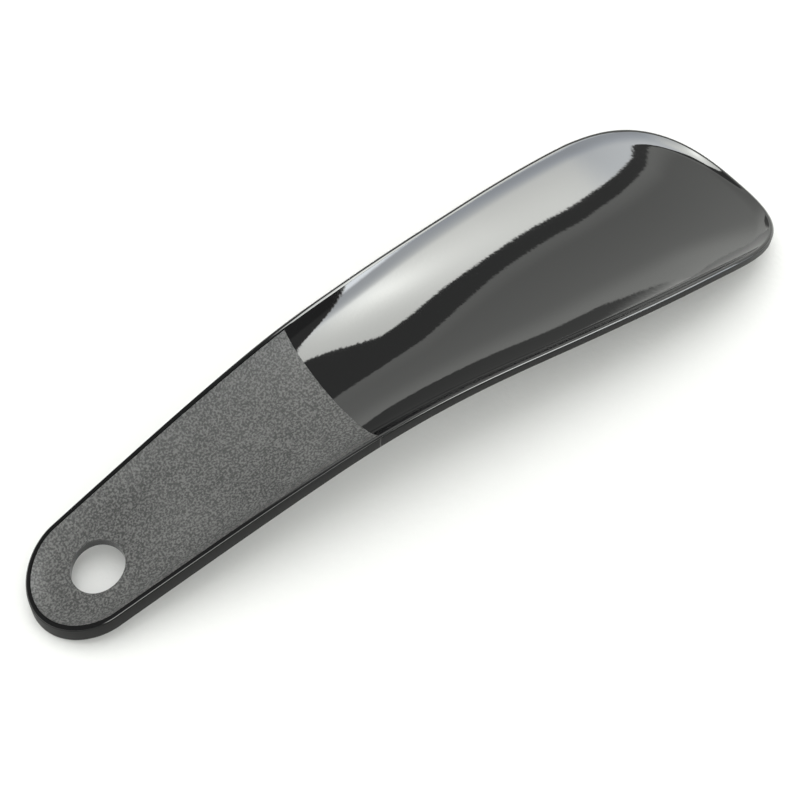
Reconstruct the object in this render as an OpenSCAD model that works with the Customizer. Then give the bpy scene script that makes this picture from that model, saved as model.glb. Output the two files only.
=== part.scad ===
// Hand shoehorn moulded in one shot of black plastic.
// +X runs from the hang hole end to the blade tip, +Z up, and the middle plane is y = 0.
// It lies on z = 0 with the trough facing up, on its two ends, and arches in between.
// The origin is the middle of its footprint. The functions measure x from the tail end.

/* [Plan outline] */
// Length along the surface it lies on, mm
total_length = 185; // [175:1:195]
// Half width of the handle's straight sides carried back to the tail end, mm
tail_half_width = 11; // [10.5:0.05:12]
// Length of the rounded tail, mm
tail_round = 11.4; // [11:0.1:13]
// Half width at the shoulder, mm
shoulder_half_width = 17.2; // [15.5:0.1:18]
// Largest half width of the blade, mm
blade_half_width = 23.2; // [21:0.1:25]
// Distance from the tail end to the shoulder, mm
shoulder_x = 80; // [76:1:84]
// Distance from the tail end to the widest place, mm
widest_x = 150; // [144:1:154]
// Distance from the tail end to the line where the matt grip ends, mm
border_x = 68.2; // [62:0.1:72]

/* [Side profile] */
// Steepness of the rise at the tail, mm per mm
tail_rise = 0.285; // [0.2:0.005:0.32]
// Height of the underside at the neck, mm
neck_height = 12.6; // [10:0.1:14]
// Height of the underside at the top of the arch, mm
arch_height = 14.4; // [12:0.1:16]
// Height of the underside in mid blade, mm
mid_height = 9; // [7:0.1:11]
// Height of the underside 15 mm from the tip, mm
near_tip_height = 3.8; // [3.4:0.1:4.2]

/* [Trough] */
// Dish of the tail, rise over the half width squared, 1/mm
tail_dish = 0.006; // [0.003:0.0005:0.009]
// Dish at the grip's end, 1/mm
neck_dish = 0.018; // [0.013:0.0002:0.019]
// Dish of the blade, 1/mm
blade_dish = 0.013; // [0.011:0.0002:0.015]
// Dish near the tip, where the trough opens out, 1/mm
tip_dish = 0.0094; // [0.008:0.0002:0.013]

/* [Wall] */
// Thickness of the handle plate with its grip skin, mm
handle_wall = 2.2; // [2:0.1:2.5]
// Thickness of the blade, mm
blade_wall = 1.9; // [1.7:0.1:2.1]
// Thickness of the matt grip skin, mm
grip_skin = 0.4; // [0.3:0.05:0.6]
// Gap between the grip skin and the edge bead, mm
grip_gap = 0.1; // [0.05:0.05:0.4]

/* [Edge bead] */
// Width of the bead, mm
bead_width = 0.9; // [0.8:0.05:1.3]
// Height of the bead round the handle, mm
handle_bead = 4.4; // [4:0.1:4.7]
// Height of the bead round the blade, mm
blade_bead = 2.7; // [2.6:0.05:3]
// Height of the bead's rounded outer shoulder, mm
crown = 0.7; // [0.3:0.05:0.8]
// How far the bead hangs below the handle plate, mm
handle_lip = 0.5; // [0.3:0.05:0.7]
// How far the bead hangs below the blade, mm
blade_lip = 0.2; // [0.05:0.05:0.3]

// Width of the hollow curve from the handle plate up to the bead, mm
handle_hollow = 4.5; // [3:0.1:5]
// Width of the hollow curve from the blade up to the bead, mm
blade_hollow = 2.4; // [2:0.1:4]
// How far the bead stands over the grip skin beside it, mm
handle_step = 0.15; // [0.1:0.05:0.3]
// How far the bead stands over the blade beside it, mm
blade_step = 0.02; // [0.02:0.02:0.1]

/* [Hang hole] */
// Radius of the hang hole, mm
hole_radius = 5.3; // [4.5:0.1:6]
// Distance from the tail end to the hole's centre, mm
hole_x = 14.1; // [13.5:0.1:16]

/* [Hidden] */
end_step = 0.02;
handle_steps = 28;
blade_steps = 36;
cross_steps = 20;
crown_steps = 7;
near_tip_x = total_length - 15;
open_x = 148;
open_length = 32;
tip_slope = -0.25;
mid_x = 140;
neck_x = 60;
arch_x = 88;
thin_start = 35;
thin_length = 75;
hole_depth = 40;

// smooth curve from (x0, y0) to (x1, y1) that leaves with slope m0 and arrives with slope m1
function bend(x, x0, y0, m0, x1, y1, m1) =
    let (d = x1 - x0, u = (x - x0) / d)
    y0 * (1 + 2 * u) * pow(1 - u, 2) + m0 * d * u * pow(1 - u, 2)
    + y1 * u * u * (3 - 2 * u) + m1 * d * u * u * (u - 1);

// 0 before start, 1 after start + length, smooth between
function ease(x, start, length) =
    let (u = min(1, max(0, (x - start) / length)))
    u * u * (3 - 2 * u);

handle_taper = (shoulder_half_width - tail_half_width) / shoulder_x;

// half width in plan at x
function side(x) =
    x < shoulder_x
        ? tail_half_width + handle_taper * x
        : bend(x, shoulder_x, shoulder_half_width, 0.085, widest_x, blade_half_width, 0.025);

function tail_curve(x) =
    x < tail_round ? sqrt(1 - pow((tail_round - x) / tail_round, 2)) : 1;

function tip_curve(x) =
    let (u = (x - widest_x) / (total_length - widest_x))
    pow(1 - pow(u, 3), 1 / 2.3);

function half_width(x) =
    x < widest_x ? side(x) * tail_curve(x) : blade_half_width * tip_curve(x);

// height of the bead's lower edge line over the middle plane
function keel(x) =
    x < neck_x ? bend(x, 0, 0, tail_rise, neck_x, neck_height, 0.15)
    : x < arch_x ? bend(x, neck_x, neck_height, 0.15, arch_x, arch_height, 0)
    : x < mid_x ? bend(x, arch_x, arch_height, 0, mid_x, mid_height, -0.14)
    : x < near_tip_x ? bend(x, mid_x, mid_height, -0.14, near_tip_x, near_tip_height, -0.23)
    : bend(x, near_tip_x, near_tip_height, -0.23, total_length, 0, tip_slope);

function dish(x) =
    let (neck = tail_dish + (neck_dish - tail_dish) * ease(x, 0, border_x))
    neck + (blade_dish - neck_dish) * ease(x, border_x, 50)
    + (tip_dish - blade_dish) * ease(x, open_x, open_length);

function floor_height(x, y) = keel(x) + dish(x) * y * y;

function thinning(x) = ease(x, thin_start, thin_length);
function wall_at(x) = handle_wall + (blade_wall - handle_wall) * thinning(x);
function bead_at(x) = handle_bead + (blade_bead - handle_bead) * thinning(x);
function lip_at(x) = handle_lip + (blade_lip - handle_lip) * thinning(x);
function step_at(x) = handle_step + (blade_step - handle_step) * thinning(x);
function hollow_width(x) = handle_hollow + (blade_hollow - handle_hollow) * thinning(x);

// about how far the plan point (x, y) lies inside the outline
function edge_distance(x, y) =
    x < tail_round
        ? side(x) * (1 - sqrt(pow((tail_round - x) / tail_round, 2) + pow(y / side(x), 2)))
    : x < widest_x
        ? side(x) - abs(y)
    : let (u = (x - widest_x) / (total_length - widest_x), w = abs(y) / blade_half_width)
        blade_half_width * (1 - pow(pow(u, 3) + pow(w, 2.3), 1 / 2.3));

// rise of the upper face above the plain plate, from nothing to nearly the bead's height
function hollow(x, y) =
    let (u = min(1, max(0, 1 - (edge_distance(x, y) - bead_width) / hollow_width(x))))
    (bead_at(x) - step_at(x) - lip_at(x) - wall_at(x)) * u * u;

function slope_at(x) =
    let (e = end_step / 4)
    (half_width(x + e) - half_width(x - e)) / (2 * e);

// plan point at distance d inside the outline, measured square to it
function inset(x, d) =
    let (m = slope_at(x), n = sqrt(1 + m * m))
    [x + d * m / n, half_width(x) - d / n];

handle_x = [for (i = [0 : handle_steps])
    end_step + (border_x - end_step) * (1 - cos(90 * i / handle_steps))];
blade_x = [for (i = [0 : blade_steps])
    border_x + (total_length - end_step - border_x) * sin(90 * i / blade_steps)];

// fraction of the half width for station j across, closer together near the edges
function spread(j) = sin(90 * (2 * j / cross_steps - 1));

// closed loop across the part: along the lower face, back along the upper face;
// rise is 1 on faces that curve up to the bead and 0 on plain ones
function plate_loop(x, d, low, low_rise, high, high_rise) =
    let (p = inset(x, d))
    [for (j = [0 : cross_steps])
        let (y = p[1] * spread(j))
        [p[0], y, floor_height(p[0], y) + low + low_rise * hollow(p[0], y)],
     for (j = [cross_steps : -1 : 0])
        let (y = p[1] * spread(j))
        [p[0], y, floor_height(p[0], y) + high + high_rise * hollow(p[0], y)]];

// point of the bead at inward distance d and height h, on the side given by s
function bead_point(x, s, d, h) =
    let (p = inset(x, d))
    [p[0], s * p[1], floor_height(p[0], p[1]) + h];

// closed loop of the bead: lower edge, inner wall, rounded outer shoulder, outer wall
function bead_loop(x, s) =
    let (h = bead_at(x))
    [bead_point(x, s, 0, 0),
     bead_point(x, s, bead_width, 0),
     for (j = [0 : crown_steps])
        let (a = 90 * j / crown_steps)
        bead_point(x, s, bead_width * (1 - sin(a)), h - crown + crown * cos(a))];

// solid through a row of loops that all have the same number of points
module loft(loops) {
    n = len(loops[0]);
    last = len(loops) - 1;
    half = n / 2;
    walls = [for (i = [0 : last - 1], j = [0 : n - 1])
        let (k = (j + 1) % n, a = i * n + j, b = i * n + k)
        each [[a, b, a + n], [b, b + n, a + n]]];
    caps = [for (j = [0 : half - 2])
        let (a = j, b = j + 1, c = n - 2 - j, d = n - 1 - j)
        each [[a, d, b], [b, d, c],
              [last * n + a, last * n + b, last * n + d],
              [last * n + b, last * n + c, last * n + d]]];
    polyhedron(points = [for (l = loops) each l], faces = concat(walls, caps), convexity = 6);
}

// moves a shape drawn from the tail end so that the middle of its length is at x = 0
module centred() {
    translate([-total_length / 2, 0, 0])
        children();
}

module hang_hole() {
    translate([hole_x, 0, -1])
        cylinder(r = hole_radius, h = hole_depth, $fn = 96);
}

module handle() {
    color([0.05, 0.05, 0.055])
        centred()
        difference() {
            loft([for (x = handle_x)
                plate_loop(x, bead_width, lip_at(x), 0, lip_at(x) + wall_at(x) - grip_skin, 1)]);
            hang_hole();
        }
}

module grip_panel() {
    color([0.16, 0.16, 0.16])
        centred()
        difference() {
            loft([for (x = handle_x)
                plate_loop(x, bead_width + grip_gap,
                    lip_at(x) + wall_at(x) - grip_skin, 1, lip_at(x) + wall_at(x), 1)]);
            hang_hole();
        }
}

module blade() {
    color([0.04, 0.04, 0.045])
        centred()
        loft([for (x = blade_x)
            plate_loop(x, bead_width, lip_at(x), 0, lip_at(x) + wall_at(x), 1)]);
}

module handle_bead_edge() {
    color([0.04, 0.04, 0.045])
        centred()
        loft([for (i = [handle_steps : -1 : 0]) bead_loop(handle_x[i], -1),
              for (i = [0 : handle_steps]) bead_loop(handle_x[i], 1)]);
}

module blade_bead_edge() {
    color([0.04, 0.04, 0.045])
        centred()
        loft([for (i = [0 : blade_steps]) bead_loop(blade_x[i], -1),
              for (i = [blade_steps : -1 : 0]) bead_loop(blade_x[i], 1)]);
}

handle();
grip_panel();
blade();
handle_bead_edge();
blade_bead_edge();
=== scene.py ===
from math import radians, sin, cos
import bpy
import bmesh
import numpy as np
from mathutils import Matrix, Vector


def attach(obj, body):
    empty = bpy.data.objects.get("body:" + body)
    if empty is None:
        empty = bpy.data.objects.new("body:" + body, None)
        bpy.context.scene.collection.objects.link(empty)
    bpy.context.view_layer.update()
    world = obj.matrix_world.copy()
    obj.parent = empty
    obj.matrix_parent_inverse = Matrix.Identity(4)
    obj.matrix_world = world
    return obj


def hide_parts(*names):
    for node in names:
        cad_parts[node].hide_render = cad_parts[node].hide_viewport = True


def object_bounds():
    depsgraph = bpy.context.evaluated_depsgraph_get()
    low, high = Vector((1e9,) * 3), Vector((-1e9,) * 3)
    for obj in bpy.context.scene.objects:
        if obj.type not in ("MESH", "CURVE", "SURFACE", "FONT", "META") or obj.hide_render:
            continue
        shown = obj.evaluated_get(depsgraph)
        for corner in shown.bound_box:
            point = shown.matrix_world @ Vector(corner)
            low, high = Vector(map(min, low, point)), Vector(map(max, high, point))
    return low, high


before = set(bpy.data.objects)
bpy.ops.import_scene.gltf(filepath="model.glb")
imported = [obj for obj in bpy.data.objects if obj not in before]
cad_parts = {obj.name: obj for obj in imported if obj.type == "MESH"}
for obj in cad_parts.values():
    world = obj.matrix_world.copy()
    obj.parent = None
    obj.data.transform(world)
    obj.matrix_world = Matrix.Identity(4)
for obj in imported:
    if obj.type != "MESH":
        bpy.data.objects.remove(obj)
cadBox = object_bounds()
partLength = round((cadBox[1][0] - cadBox[0][0]) * 1000)
bladeHalf = cadBox[1][1] * 1000
tailX = -partLength / 2
print("frame loaded:", partLength, "mm long,", round(2 * bladeHalf, 1), "mm wide")

scene = bpy.context.scene
scene.view_settings.view_transform = "Standard"

# the same sides, dish, walls and edge as the solid model, in millimetres, with x from the tail end
body = {
    "tailHalf": 11.0, "tailRound": 11.4, "shoulderHalf": 17.2, "shoulderX": 80.0, "widestX": 150.0,
    "swellStart": 0.085, "swellEnd": 0.025, "tipAlong": 3, "tipAcross": 2.3,
    "borderX": 68.2, "tailDish": 0.006, "neckDish": 0.018, "bladeDish": 0.013, "tipDish": 0.0094,
    "bladeEase": 50, "openX": 148.0, "openLength": 32,
    "handleWall": 2.2, "bladeWall": 1.9, "handleBead": 4.4, "bladeBead": 2.7,
    "handleLip": 0.5, "bladeLip": 0.2, "handleStep": 0.15, "bladeStep": 0.02,
    "thinStart": 35.0, "thinLength": 75.0, "handleHollow": 4.5, "bladeHollow": 2.4,
    "beadWidth": 0.9, "crown": 0.7, "skin": 0.4, "skinGap": 0.1, "foot": 0.25,
    "dullShadedTurn": (55, 25),
    "holeX": 14.1, "holeRadius": 5.3,
}
# the underside's middle line: distance from the tail, height, slope
arch = ((0, 0, 0.285), (60, 12.6, 0.15), (88, 14.4, 0), (140, 9.0, -0.14),
        (partLength - 15, 3.8, -0.23), (partLength, 0, -0.25))
# how finely the visual meshes are cut; lengths for merging are in metres, the angle in degrees
detail = {
    "stations": 520, "across": 101, "ringX": 25.0, "holeRings": 20, "holeRows": 6, "rimRows": 4, "capRows": 3,
    "crownSteps": 17, "footSteps": 6, "mergeWithin": 2e-6, "tinyEdge": 1e-7, "sharpFrom": 38,
    "keelStep": 0.1, "keelWindow": 141,
}


def hermite(x, a, b):
    # the cubic that leaves point a and reaches point b, each (distance, height, slope)
    d = b[0] - a[0]
    u = (x - a[0]) / d
    return (a[1] * (1 + 2 * u) * (1 - u) ** 2 + a[2] * d * u * (1 - u) ** 2
            + b[1] * u * u * (3 - 2 * u) + b[2] * d * u * u * (u - 1))


def ease(x, start, length):
    # 0 before start, 1 after start + length, u squared times (3 - 2u) between
    u = np.clip((x - start) / length, 0, 1)
    return u * u * (3 - 2 * u)


def keelRaw(x):
    # height on the arch's cubics, laid end to end
    x = np.asarray(x, float)
    z = np.zeros_like(x)
    for a, b in zip(arch[:-1], arch[1:]):
        z = np.where((x >= a[0]) & (x <= b[0]), hermite(x, a, b), z)
    return z


# the arch with straight lines on past both ends, averaged under a bell-shaped window
keelX = np.linspace(-20, partLength + 20, round((partLength + 40) / detail["keelStep"]) + 1)
keelZ = np.where(keelX < 0, keelX * arch[0][2], np.where(
    keelX > partLength, (keelX - partLength) * arch[-1][2], keelRaw(keelX)))
window = np.hanning(detail["keelWindow"])
keelSmooth = np.convolve(keelZ, window / window.sum(), mode="same")


def keel(x):
    # height of the averaged arch, whose curvature has no steps, so that the gloss shows none
    return np.interp(x, keelX, keelSmooth)


def dishAt(x):
    # rise over y squared, eased from the tail's to the neck's, the blade's and the opened-out tip's
    p = body
    neck = p["tailDish"] + (p["neckDish"] - p["tailDish"]) * ease(x, 0, p["borderX"])
    blade = neck + (p["bladeDish"] - p["neckDish"]) * ease(x, p["borderX"], p["bladeEase"])
    return blade + (p["tipDish"] - p["bladeDish"]) * ease(x, p["openX"], p["openLength"])


def straightSide(x):
    # half width of the straight taper, then of the cubic swell up to the widest place
    p = body
    taper = (p["shoulderHalf"] - p["tailHalf"]) / p["shoulderX"]
    swell = hermite(x, (p["shoulderX"], p["shoulderHalf"], p["swellStart"]),
                    (p["widestX"], bladeHalf, p["swellEnd"]))
    return np.where(x < p["shoulderX"], p["tailHalf"] + taper * x, swell)


def edgeDistance(x, y):
    # about how far a plan point lies inside the outline: half width times one minus the radius on the
    # ellipse at the tail and on the superellipse at the tip, half width minus |y| between
    p = body
    side = straightSide(x)
    back = np.clip((p["tailRound"] - x) / p["tailRound"], 0, 1)
    tail = side * (1 - np.sqrt(back ** 2 + (y / side) ** 2))
    u = np.clip((x - p["widestX"]) / (partLength - p["widestX"]), 0, 1)
    m, n = p["tipAlong"], p["tipAcross"]
    tip = bladeHalf * (1 - (u ** m + (np.abs(y) / bladeHalf) ** n) ** (1 / n))
    return np.where(x < p["tailRound"], tail, np.where(x < p["widestX"], side - np.abs(y), tip))


def outline(count):
    # the +Y half of the plan outline from the tail's middle to the tip's, evenly spaced along its length
    # on both sides of the border: an elliptic tail, straight taper, cubic swell and superellipse tip
    p = body
    m, n = p["tipAlong"], p["tipAcross"]
    turn = np.linspace(0, np.pi / 2, 4000)
    roundX = p["tailRound"] * (1 - np.cos(turn))
    roundY = straightSide(roundX) * np.sin(turn)
    midX = np.linspace(p["tailRound"], p["widestX"], 8000)[1:]
    midY = straightSide(midX)
    reach = partLength - p["widestX"]
    startU = np.linspace(0, 0.8, 3000)[1:]
    endW = np.linspace((1 - 0.8 ** m) ** (1 / n), 0, 4000)[1:]
    tipX = p["widestX"] + reach * np.append(startU, (1 - endW ** n) ** (1 / m))
    tipY = bladeHalf * np.append((1 - startU ** m) ** (1 / n), endW)
    x, y = np.concatenate([roundX, midX, tipX]), np.concatenate([roundY, midY, tipY])
    length = np.append(0, np.cumsum(np.hypot(np.diff(x), np.diff(y))))
    border = np.interp(p["borderX"], x, length)
    first = max(3, int(round(count * border / length[-1])))
    rest = np.linspace(border, length[-1], count - first + 1)[1:]
    marks = np.append(np.linspace(0, border, first), rest)
    return np.interp(marks, length, x), np.interp(marks, length, y), first


def floorHeight(x, y):
    # keel height plus dish times y squared
    return keel(x) + dishAt(x) * y * y


def between(handleValue, bladeValue, x):
    # the handle's value, eased into the blade's
    return handleValue + (bladeValue - handleValue) * ease(x, body["thinStart"], body["thinLength"])


def wallAt(x):
    # thickness of the plate
    return between(body["handleWall"], body["bladeWall"], x)


def beadAt(x):
    # full height of the edge's bead
    return between(body["handleBead"], body["bladeBead"], x)


def lipAt(x):
    # how far the bead's foot stands below the plate
    return between(body["handleLip"], body["bladeLip"], x)


def hollow(x, y):
    # rise of the upper face near the bead: the height left over the plate, less the step, times u
    # squared, u from 0 to 1 outward
    p = body
    width = between(p["handleHollow"], p["bladeHollow"], x)
    u = np.clip(1 - (edgeDistance(x, y) - p["beadWidth"]) / width, 0, 1)
    return (beadAt(x) - between(p["handleStep"], p["bladeStep"], x) - lipAt(x) - wallAt(x)) * u * u


outX, outY, borderCount = outline(detail["stations"])


def inwardOf(x, y):
    # unit vector square to the outline, from the tangent of the curve mirrored at both ends
    fullX = np.concatenate([x[1:3][::-1], x, x[-3:-1][::-1]])
    fullY = np.concatenate([-y[1:3][::-1], y, -y[-3:-1][::-1]])
    tx, ty = np.gradient(fullX)[2:-2], np.gradient(fullY)[2:-2]
    size = np.hypot(tx, ty)
    return ty / size, -tx / size


inX, inY = inwardOf(outX, outY)
handlePart = slice(0, borderCount)
bladePart = slice(borderCount - 1, None)


def inset(part, d):
    # plan points at distance d square inward from the outline, on the +Y side
    x, y, nx, ny = (row[part].reshape(-1, *([1] * (np.ndim(d) - 1))) if np.ndim(d) > 1 else row[part]
                    for row in (outX, outY, inX, inY))
    return x + d * nx, y + d * ny


def addGrid(patches, x, y, z, dullShaded=0.0):
    # keeps a grid of points, in metres from the part's middle, and each one's share of the dull,
    # painted-shade wall
    patches.append((np.stack([x + tailX, y, z], axis=-1) * 0.001, dullShaded + 0 * z))


def buildPiece(name, patches, nodes, material):
    # joins grids of points into one mesh: a quad for each cell, doubles merged, faces turned outward
    points, faces, dullShadedness, start = [], [], [], 0
    for grid, dullShaded in patches:
        rows, columns = grid.shape[:2]
        index = start + np.arange(rows * columns).reshape(rows, columns)
        quads = np.stack([index[:-1, :-1], index[1:, :-1], index[1:, 1:], index[:-1, 1:]], axis=-1)
        points.append(grid.reshape(-1, 3))
        faces.append(quads.reshape(-1, 4))
        dullShadedness.append(dullShaded.ravel())
        start += rows * columns
    mesh = bpy.data.meshes.new(name)
    mesh.from_pydata(np.concatenate(points), [], np.concatenate(faces).tolist())
    # edgeWall holds each point's share of the dull wall shader, whose dim shine is painted shade
    mesh.attributes.new("edgeWall", "FLOAT", "POINT").data.foreach_set("value", np.concatenate(dullShadedness))
    piece = bpy.data.objects.new(name, mesh)
    scene.collection.objects.link(piece)
    shell = bmesh.new()
    shell.from_mesh(mesh)
    bmesh.ops.remove_doubles(shell, verts=shell.verts, dist=detail["mergeWithin"])
    bmesh.ops.dissolve_degenerate(shell, edges=shell.edges, dist=detail["tinyEdge"])
    bmesh.ops.recalc_face_normals(shell, faces=shell.faces)
    shell.to_mesh(mesh)
    shell.free()
    mesh.shade_smooth()
    mesh.set_sharp_from_angle(angle=radians(detail["sharpFrom"]))
    mesh.materials.append(material)
    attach(piece, "root")
    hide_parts(*nodes)
    print(name, len(mesh.vertices), "points,", len(mesh.polygons), "faces")
    return piece


class Value:
    # wraps a socket, so that an expression on values adds its Math nodes
    def __init__(self, kit, socket):
        self.kit, self.socket = kit, socket

    def math(self, operation, a, b):
        return self.kit.node("ShaderNodeMath", {"operation": operation}, {0: a, 1: b})

    def __add__(self, other):
        return self.math("ADD", self, other)

    def __sub__(self, other):
        return self.math("SUBTRACT", self, other)

    def __mul__(self, other):
        return self.math("MULTIPLY", self, other)

    def __truediv__(self, other):
        return self.math("DIVIDE", self, other)

    def __radd__(self, other):
        return self.math("ADD", other, self)

    def __rsub__(self, other):
        return self.math("SUBTRACT", other, self)

    def __rmul__(self, other):
        return self.math("MULTIPLY", other, self)

    def __rtruediv__(self, other):
        return self.math("DIVIDE", other, self)

    def least(self, other):
        return self.math("MINIMUM", self, other)

    def most(self, other):
        return self.math("MAXIMUM", self, other)


class NodeKit:
    # adds nodes to one tree: settings are set first, then the sockets' values or links
    def __init__(self, tree):
        self.tree = tree
        tree.nodes.clear()

    def node(self, kind, settings=None, inputs=None, output=0):
        made = self.tree.nodes.new(kind)
        for key, value in (settings or {}).items():
            if key == "stops":
                ramp = made.color_ramp
                while len(ramp.elements) < len(value):
                    ramp.elements.new(0.5)
                for element, (position, colour) in zip(ramp.elements, value):
                    element.position, element.color = position, colour
            else:
                setattr(made, key, value)
        for key, value in (inputs or {}).items():
            socket = made.inputs[key]
            if isinstance(value, Value):
                self.tree.links.new(value.socket, socket)
            else:
                socket.default_value = value
        return Value(self, made.outputs[output]) if made.outputs else made

    def smooth(self, value, start, end):
        # 0 at start, 1 at end, smooth between
        return self.node("ShaderNodeMapRange", {"interpolation_type": "SMOOTHSTEP"},
                         {"Value": value, "From Min": start, "From Max": end})


def newMaterial(name):
    material = bpy.data.materials.new(name)
    material.use_nodes = True
    return material, NodeKit(material.node_tree)


gloss = {
    "colour": (0.0035, 0.0035, 0.004), "roughness": 0.03, "haze": 0.02, "hazeScale": 240.0,
    # the edge's outer wall: rougher, with a darker colour and dim shine that are painted shade
    "wallShadeColour": 0.003, "wallRoughness": 0.45, "wallShadeShine": 0.12,
    "slowWave": 0.00005, "slowScale": 60.0, "slowAlong": 0.4, "fineWave": 0.000004, "fineScale": 1100.0,
}
grip = {
    "colour": 0.083, "darkest": (0.35, 0.35, 0.36), "lightest": (1.8, 1.8, 1.78),
    "roughness": 0.5, "shine": 0.28,
    "grain": 0.00004, "grainScale": 2400.0, "speck": (0.38, 0.66), "speckShare": 0.7,
    "mottleScale": 90.0, "mottleShare": 0.3, "mottleRoughness": 0.08,
}


def glossPlastic():
    # polished black plastic: near mirror, with slow moulding waves and fine ripples; on the edge's outer
    # wall it is mixed, by the edgeWall value, with a rougher shader whose darker colour and dim shine are
    # painted shade
    p = gloss
    material, kit = newMaterial("glossBlackPlastic")
    place = kit.node("ShaderNodeTexCoord", output="Object")
    along = kit.node("ShaderNodeMapping", None, {"Vector": place, "Scale": (p["slowAlong"], 1.0, 1.0)})
    slow = kit.node("ShaderNodeTexNoise", None, {"Vector": along, "Scale": p["slowScale"], "Detail": 0.0})
    fine = kit.node("ShaderNodeTexNoise", None, {"Vector": place, "Scale": p["fineScale"], "Detail": 1.0})
    haze = kit.node("ShaderNodeTexNoise", None, {"Vector": place, "Scale": p["hazeScale"], "Detail": 4.0})
    wall = kit.node("ShaderNodeAttribute", {"attribute_name": "edgeWall"}, output="Fac")
    bump = kit.node("ShaderNodeBump", None, {"Strength": 1.0, "Distance": p["slowWave"], "Height": slow})
    bump = kit.node("ShaderNodeBump", None, {
        "Strength": 1.0, "Distance": p["fineWave"], "Height": fine, "Normal": bump})
    shader = kit.node("ShaderNodeBsdfPrincipled", None, {
        "Base Color": (*p["colour"], 1),
        "Roughness": p["roughness"] + haze * p["haze"], "IOR": 1.5, "Normal": bump})
    # the outer wall's shader: rough, with its colour and shine turned down as painted shade
    c = p["wallShadeColour"]
    dullShaded = kit.node("ShaderNodeBsdfPrincipled", None, {
        "Base Color": (c, c, c, 1), "Roughness": p["wallRoughness"], "Specular IOR Level": p["wallShadeShine"]})
    mixed = kit.node("ShaderNodeMixShader", None, {0: wall, 1: shader, 2: dullShaded})
    kit.node("ShaderNodeOutputMaterial", None, {"Surface": mixed})
    return material


def gripPlastic():
    # matt black plastic: its colour runs from dark to light with the grain's specks and a slow mottle,
    # and the grain is its bump too
    p = grip
    material, kit = newMaterial("mattGrainedPlastic")
    place = kit.node("ShaderNodeTexCoord", output="Object")
    grain = kit.node("ShaderNodeTexNoise", None, {"Vector": place, "Scale": p["grainScale"], "Detail": 2.0})
    mottle = kit.node("ShaderNodeTexNoise", None, {"Vector": place, "Scale": p["mottleScale"],
                                                     "Detail": 3.0})
    speck = kit.smooth(grain, *p["speck"])
    dark, light = (tuple(p["colour"] * share for share in p[end]) + (1,) for end in ("darkest", "lightest"))
    tone = kit.node("ShaderNodeMix", {"data_type": "RGBA"}, {
        0: mottle * p["mottleShare"] + speck * p["speckShare"],
        6: dark, 7: light}, output=2)
    bump = kit.node("ShaderNodeBump", None, {"Strength": 1.0, "Distance": p["grain"], "Height": grain})
    shader = kit.node("ShaderNodeBsdfPrincipled", None, {
        "Base Color": tone, "Roughness": p["roughness"] + mottle * p["mottleRoughness"],
        "Specular IOR Level": p["shine"], "Normal": bump})
    kit.node("ShaderNodeOutputMaterial", None, {"Surface": shader})
    return material


def beadProfile(part, topLevel):
    # across the bead from the upper face, up its inner wall, over the rounded shoulder, down the outer
    # wall, round the foot and up to the lower face: inward distance, height and share of the dull,
    # painted-shade wall shader
    p = body
    x, w = outX[part], p["beadWidth"]
    full, lip = beadAt(x)[:, None], lipAt(x)[:, None]
    level = topLevel(*inset(part, w))[:, None]
    zero = np.zeros_like(full)
    a = np.linspace(0, np.pi / 2, detail["crownSteps"])[None, :]
    crownD, crownH = w * (1 - np.sin(a)) + zero, full - p["crown"] * (1 - np.cos(a))
    b = np.linspace(0, np.pi / 2, detail["footSteps"])[None, :]
    footD, footH = p["foot"] * (1 - np.cos(b)) + zero, p["foot"] * (1 - np.sin(b)) + zero
    # the dull wall shader's share, rising over the outer shoulder; its dim shine there is painted shade
    wall = ease(np.degrees(a), *p["dullShadedTurn"]) + zero
    d = np.concatenate([w + zero, crownD, footD, w + zero, w + zero], axis=1)
    h = np.concatenate([level, crownH, footH, zero, lip], axis=1)
    dullShaded = np.concatenate([zero, wall, 1 + 0 * footD, 1 + zero, zero], axis=1)
    return d, h, dullShaded


def bothSides(px, py):
    # stations from the -Y border round the end to the +Y border, mirrored in the middle plane
    return np.concatenate([px[::-1], px[1:]]), np.concatenate([-py[::-1], py[1:]])


def beadPatch(patches, part, topLevel, tip):
    # the bead's section swept from border to border round one end: round the tip, or else the tail
    d, h, dullShaded = beadProfile(part, topLevel)
    px, py = inset(part, d)
    if tip:
        px, py, h, dullShaded = px[::-1], py[::-1], h[::-1], dullShaded[::-1]
    h, dullShaded = np.concatenate([h[::-1], h[1:]]), np.concatenate([dullShaded[::-1], dullShaded[1:]])
    px, py = bothSides(px, py)
    addGrid(patches, px, py, floorHeight(px, py) + h, dullShaded)


def beadCap(patches, station, side, topLevel):
    # closes the bead at one station: a fan from the middle of its section to its edge
    x = outX[station:station + 1]
    d, h, dullShaded = beadProfile(slice(station, station + 1), topLevel)
    centreD, centreH = 0.55 * body["beadWidth"], 0.5 * beadAt(x)[0]
    s = np.linspace(0, 1, 2)[:, None]
    cd, ch = centreD + s * (d - centreD), centreH + s * (h - centreH)
    px = x[0] + cd * inX[station]
    py = outY[station] + cd * inY[station]
    addGrid(patches, px, side * py, floorHeight(px, py) + ch)


def aroundHole(px, py, steps):
    # rays from the hang hole's edge to the tail's outline and to the line across at the last station
    rimX, rimY = bothSides(px, py)
    cross = py[-1] * across[::-1]
    rimX = np.concatenate([rimX, np.full(len(across) - 2, px[-1]), rimX[:1]])
    rimY = np.concatenate([rimY, cross[1:-1], rimY[:1]])
    dx, dy = rimX - body["holeX"], rimY
    reach = np.hypot(dx, dy)
    holeX = body["holeX"] + body["holeRadius"] * dx / reach
    holeY = body["holeRadius"] * dy / reach
    s = np.linspace(0, 1, steps)[:, None]
    return holeX + s * (rimX - holeX), holeY + s * (rimY - holeY)


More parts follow.
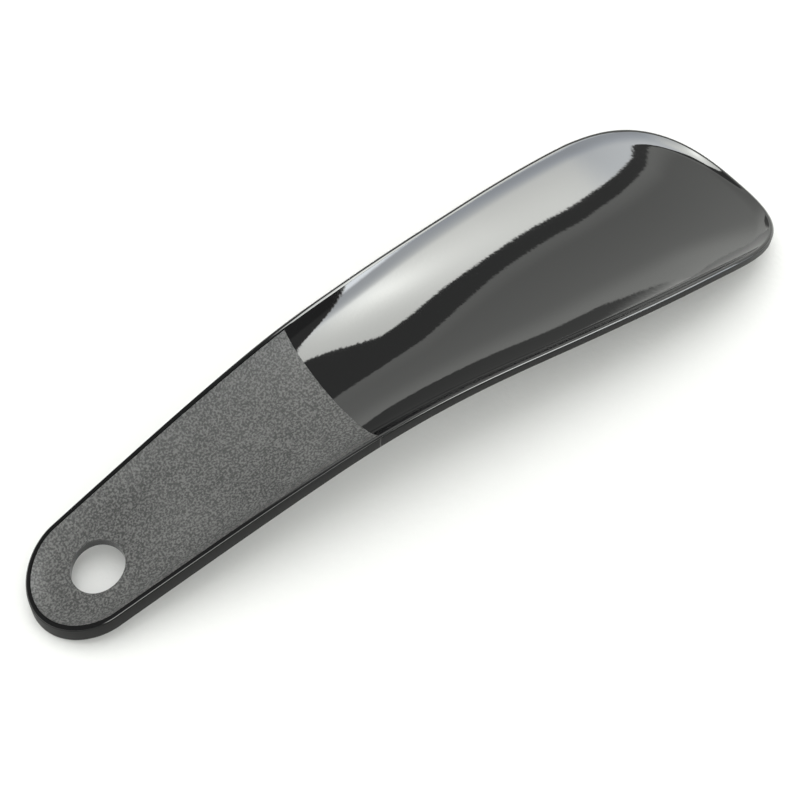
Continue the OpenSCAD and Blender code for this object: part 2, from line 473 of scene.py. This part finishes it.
# places across the plate from -1 to 1, closer together near the edges; the station where rings round
# the hole give way to lines across
across = np.sin(np.linspace(-np.pi / 2, np.pi / 2, detail["across"]))
ringEnd = int(np.searchsorted(outX, detail["ringX"]))


def levelUnder(x, y):
    # the plate's lower face over the floor surface
    return lipAt(x)


def levelBed(x, y):
    # the shallow bed that the grip's skin lies in
    return lipAt(x) + wallAt(x) - body["skin"] + hollow(x, y)


def levelTop(x, y):
    # the upper face
    return lipAt(x) + wallAt(x) + hollow(x, y)


def facePatch(patches, part, insetBy, level):
    # a face of the plate: lines across it, from station to station
    px, py = inset(part, insetBy)
    gx = np.repeat(px[:, None], len(across), axis=1)
    gy = py[:, None] * across[None, :]
    addGrid(patches, gx, gy, floorHeight(gx, gy) + level(gx, gy))


def plateWithHole(patches, insetBy, upper, lower):
    # upper and lower faces round the hole and beyond it, and the hole's wall between them
    px, py = inset(slice(0, ringEnd + 1), insetBy)
    gx, gy = aroundHole(px, py, detail["holeRings"])
    for level in (upper, lower):
        addGrid(patches, gx, gy, floorHeight(gx, gy) + level(gx, gy))
        facePatch(patches, slice(ringEnd, borderCount), insetBy, level)
    hx, hy = gx[0], gy[0]
    s = np.linspace(0, 1, detail["holeRows"])[:, None]
    bottom, top = lower(hx, hy), upper(hx, hy)
    addGrid(patches, hx + 0 * s, hy + 0 * s, floorHeight(hx, hy) + bottom + s * (top - bottom))


def capPatch(patches, station, insetBy, upper, lower):
    # closes a plate at one station
    px, py = inset(slice(station, station + 1), insetBy)
    y = py[0] * across
    x = px[0] + 0 * y
    s = np.linspace(0, 1, detail["capRows"])[:, None]
    bottom, top = lower(x, y), upper(x, y)
    addGrid(patches, x + 0 * s, y + 0 * s, floorHeight(x, y) + bottom + s * (top - bottom))


def handleShell(material):
    # the handle's plate down to the bed, its bead, and the two closed at the border
    patches = []
    plateWithHole(patches, body["beadWidth"], levelBed, levelUnder)
    beadPatch(patches, handlePart, levelBed, tip=False)
    for side in (1, -1):
        beadCap(patches, borderCount - 1, side, levelBed)
    capPatch(patches, borderCount - 1, body["beadWidth"], levelBed, levelUnder)
    return buildPiece("handleShell", patches, ["handle", "handle_bead_edge"], material)


def gripSkin(material):
    # the thin grip in its bed, with its own rim all round
    patches = []
    skinInset = body["beadWidth"] + body["skinGap"]
    plateWithHole(patches, skinInset, levelTop, levelBed)
    px, py = bothSides(*inset(handlePart, skinInset))
    s = np.linspace(0, 1, detail["rimRows"])[None, :]
    base = floorHeight(px, py) + levelBed(px, py)
    addGrid(patches, px[:, None] + 0 * s, py[:, None] + 0 * s, base[:, None] + s * body["skin"])
    capPatch(patches, borderCount - 1, skinInset, levelTop, levelBed)
    return buildPiece("gripSkin", patches, ["grip_panel"], material)


def bladeShell(material):
    # the blade's plate, its bead, and the two closed at the border
    patches = []
    for level in (levelTop, levelUnder):
        facePatch(patches, bladePart, body["beadWidth"], level)
    beadPatch(patches, bladePart, levelTop, tip=True)
    for side in (1, -1):
        beadCap(patches, borderCount - 1, side, levelTop)
    capPatch(patches, borderCount - 1, body["beadWidth"], levelTop, levelUnder)
    return buildPiece("bladeShell", patches, ["blade", "blade_bead_edge"], material)


glossMaterial = glossPlastic()
handleShell(glossMaterial)
gripSkin(gripPlastic())
bladeShell(glossMaterial)
print("pieces made")

table = {"size": 3.0, "colour": 0.82, "weaveScale": 700.0, "weave": 0.0002}


def makeTable():
    # one square at height 0, finely rough
    mesh = bpy.data.meshes.new("paleTable")
    h = table["size"] / 2
    mesh.from_pydata([(-h, -h, 0), (h, -h, 0), (h, h, 0), (-h, h, 0)], [], [(0, 1, 2, 3)])
    piece = bpy.data.objects.new("paleTable", mesh)
    scene.collection.objects.link(piece)
    material, kit = newMaterial("whiteCloth")
    place = kit.node("ShaderNodeTexCoord", output="Object")
    weave = kit.node("ShaderNodeTexNoise", None, {"Vector": place, "Scale": table["weaveScale"],
                                                    "Detail": 3.0})
    bump = kit.node("ShaderNodeBump", None, {"Strength": 0.5, "Distance": table["weave"], "Height": weave})
    c = table["colour"]
    shader = kit.node("ShaderNodeBsdfPrincipled", None, {
        "Base Color": (c, c, c, 1), "Roughness": 0.9, "Normal": bump})
    kit.node("ShaderNodeOutputMaterial", None, {"Surface": shader})
    mesh.materials.append(material)


makeTable()

view = {"azimuth": 49.13, "elevation": 56.15, "roll": 3.86, "distance": 0.30476, "lens": 68.33,
        "aim": (-0.01106, -0.00565, 0.010)}


def makeCamera():
    # looks along the azimuth, down by the elevation, at the aim point, turned by the roll
    az, el, roll = (radians(view[key]) for key in ("azimuth", "elevation", "roll"))
    forward = Vector((cos(el) * cos(az), cos(el) * sin(az), -sin(el)))
    right = forward.cross(Vector((0, 0, 1))).normalized()
    up = right.cross(forward)
    turnedRight = right * cos(roll) + up * sin(roll)
    turnedUp = up * cos(roll) - right * sin(roll)
    data = bpy.data.cameras.new("studioCamera")
    data.lens, data.sensor_width = view["lens"], 36
    data.clip_start, data.clip_end = 0.01, 20
    camera = bpy.data.objects.new("studioCamera", data)
    turn = Matrix((turnedRight, turnedUp, -forward)).transposed().to_4x4()
    camera.matrix_world = Matrix.Translation(Vector(view["aim"]) - forward * view["distance"]) @ turn
    scene.collection.objects.link(camera)
    scene.camera = camera


makeCamera()

studio = {
    # brightness of each region
    "gap": 0.48, "wall": 1.9, "low": 0.45, "box": 10.0, "boxCore": 11.0, "boxRim": 10.0, "room": 0.25,
    "side": 9.0, "fill": 1.25, "corner": 2.0, "wallFall": 1.25, "wallLift": 0.45, "wallGlow": 1.2,
    "awayDim": 0.3, "farEndDim": 0.22, "awayCool": 0.75, "farEndCool": 0.6,
    "warm": (0.985, 1.0, 0.96, 1), "cool": (0.92, 0.98, 1.05, 1),
    # borders along u: the box's near edge, the gap's end, the wall's end, each as (u, v)
    "boxEdge": ((0.10, -0.05), (0.14, -0.01), (0.17, 0.04), (0.20, 0.085), (0.25, 0.08), (0.31, 0.06),
                (0.36, 0.05), (0.44, -0.01), (0.56, -0.005), (0.62, -0.05), (0.70, -0.30)),
    "gapEnd": ((0.10, 0.27), (0.17, 0.265), (0.25, 0.25), (0.29, 0.215), (0.36, 0.15), (0.40, 0.115),
               (0.44, 0.07), (0.56, 0.05), (0.64, -0.02), (0.72, -0.2)),
    "wallEnd": ((0.10, 0.64), (0.22, 0.61), (0.40, 0.61), (0.53, 0.625), (0.60, 0.69), (0.68, 0.78),
                (0.80, 0.95)),
    # smooth steps, each from 0 at the first number to 1 at the second, on u or v
    "soft": 0.006, "boxFromU": (0.04, 0.06), "boxFromV": (-0.85, -0.75), "away": (0.08, 0.4),
    "farEndU": (0.41, 0.52), "rimV": (0.46, 0.53), "wallFromU": (-0.1, 0.05), "wallRise": (0.45, 0.6),
    "cornerU": (0.52, 0.62), "cornerV": (0.45, 0.7), "insideU": (0.02, 0.08), "insideV": (-0.45, -0.4),
    "outsideU": (0.85, 0.95), "sideNear": (-0.7, -0.64), "sideFar": (-0.46, -0.4),
    "sideFromU": (-0.5, -0.4), "sideToU": (0.02, 0.1),
    # the box's brightest spot: its place, then its reach along and across the diagonal; the point and
    # the slope of the line that cuts the box off
    "core": (0.255, -0.11), "coreReach": (0.17, 0.085), "cut": (0.1, -0.13), "cutSlope": 1.75,
}


def makeRoom():
    # The studio round the part, by direction: each direction is laid on a flat disc,
    # u, v = (x, y) / (1 + z), with the zenith in the middle and the horizon at radius 1.
    # Each region's level is laid over what is there already, by its mask from 0 to 1.
    p = studio
    world = bpy.data.worlds.new("studioRoom")
    scene.world = world
    world.use_nodes = True
    kit = NodeKit(world.node_tree)
    ray = kit.node("ShaderNodeTexCoord", output="Generated")
    split = kit.node("ShaderNodeSeparateXYZ", None, {0: ray})
    dx, dy, dz = (Value(kit, split.socket.node.outputs[i]) for i in range(3))
    u = dx / (1.0 + dz).most(0.05)
    v = dy / (1.0 + dz).most(0.05)

    def line(name):
        # height v of a border line at u, from its points
        stops = [(place, (level / 2 + 0.5,) * 3 + (1,)) for place, level in p[name]]
        return kit.node("ShaderNodeValToRGB", {"stops": stops}, {"Fac": u}) * 2.0 - 1.0

    def step(value, name):
        return kit.smooth(value, *p[name])

    def past(value, width=p["soft"]):
        # 1 where the value is over 0, softened by the width on both sides
        return kit.smooth(value, 0.0 - width, width)

    boxEdge, gapEnd, wallEnd = line("boxEdge"), line("gapEnd"), line("wallEnd")
    # the softbox, cut off by a slanting line at its left end, dimmer away from its near edge and at its
    # far end, brightest at the core and beyond its rim
    box = 1.0 - past(v - boxEdge)
    box = box * step(u, "boxFromU") * step(v, "boxFromV")
    box = box * past(v - p["cut"][1] + p["cutSlope"] * (u - p["cut"][0]), 2 * p["soft"])
    away = step(0.0 - v, "away")
    farEnd = step(u, "farEndU")
    boxLevel = p["box"] * (1.0 - p["awayDim"] * away) * (1.0 - p["farEndDim"] * farEnd)
    boxLevel = boxLevel + step(0.0 - v, "rimV") * p["boxRim"]
    du, dv = u - p["core"][0], v - p["core"][1]
    s, t = (du + dv) / p["coreReach"][0], (du - dv) / p["coreReach"][1]
    core = 1.0 / (1.0 + s * s + t * t)
    # the mid-grey wall beyond the gap
    wall = past(v - gapEnd) * (1.0 - past(v - wallEnd))
    wall = wall * step(u, "wallFromU")
    nearGap = 1.0 - kit.smooth(v - gapEnd, 0.0, 0.1)
    wallLevel = p["wall"] - (u - 0.15) * p["wallFall"] + step(v, "wallRise") * p["wallLift"]
    wallLevel = wallLevel + nearGap * u * p["wallGlow"]
    # the dark gap and the low part of the room, with a lighter corner
    corner = step(u - 0.05 * v, "cornerU") * step(v, "cornerV")
    lowLevel = p["low"] + corner * p["corner"]
    gap = 1.0 - past(v - gapEnd)
    base = gap * p["gap"] + (1.0 - gap) * lowLevel
    # away from the mapped part of the room: an even surround
    inside = step(u, "insideU") * step(v, "insideV") * (1.0 - step(u, "outsideU"))
    base = inside * base + (1.0 - inside) * p["room"]
    level = base * (1.0 - wall) + wall * wallLevel
    level = level * (1.0 - box) + box * (boxLevel + core * p["boxCore"])
    # a narrow light low on the near side, for the light line along the handle's edge
    side = (1.0 - step(v, "sideFar")) * step(v, "sideNear")
    side = side * step(u, "sideFromU") * (1.0 - step(u, "sideToU"))
    level = level + side * p["side"]
    # gloss sees this room; the cloth and everything dull are lit by the panel overhead and an even fill
    path = kit.node("ShaderNodeLightPath", output="Is Glossy Ray")
    total = path * level + (1.0 - path) * p["fill"]
    cool = path * box * (p["awayCool"] * away + p["farEndCool"] * farEnd).least(1.0)
    tint = kit.node("ShaderNodeMix", {"data_type": "RGBA"}, {0: cool, 6: p["warm"], 7: p["cool"]}, output=2)
    shade = kit.node("ShaderNodeBackground", None, {"Color": tint, "Strength": total})
    kit.node("ShaderNodeOutputWorld", None, {"Surface": shade})


makeRoom()

overhead = {"lean": 8.0, "azimuth": 100.0, "distance": 1.0, "size": 0.7, "power": 2.6}


def makeOverhead():
    # one wide soft panel nearly straight above, leaning a little to the far side
    p = overhead
    az, lean = radians(p["azimuth"]), radians(p["lean"])
    toward = Vector((sin(lean) * cos(az), sin(lean) * sin(az), cos(lean)))
    data = bpy.data.lights.new("softPanel", "AREA")
    data.size, data.energy = p["size"], p["power"]
    lamp = bpy.data.objects.new("softPanel", data)
    lamp.location = toward * p["distance"]
    lamp.rotation_euler = toward.to_track_quat("Z", "Y").to_euler()
    lamp.visible_glossy = False
    scene.collection.objects.link(lamp)


makeOverhead()
print("table, camera and light set")
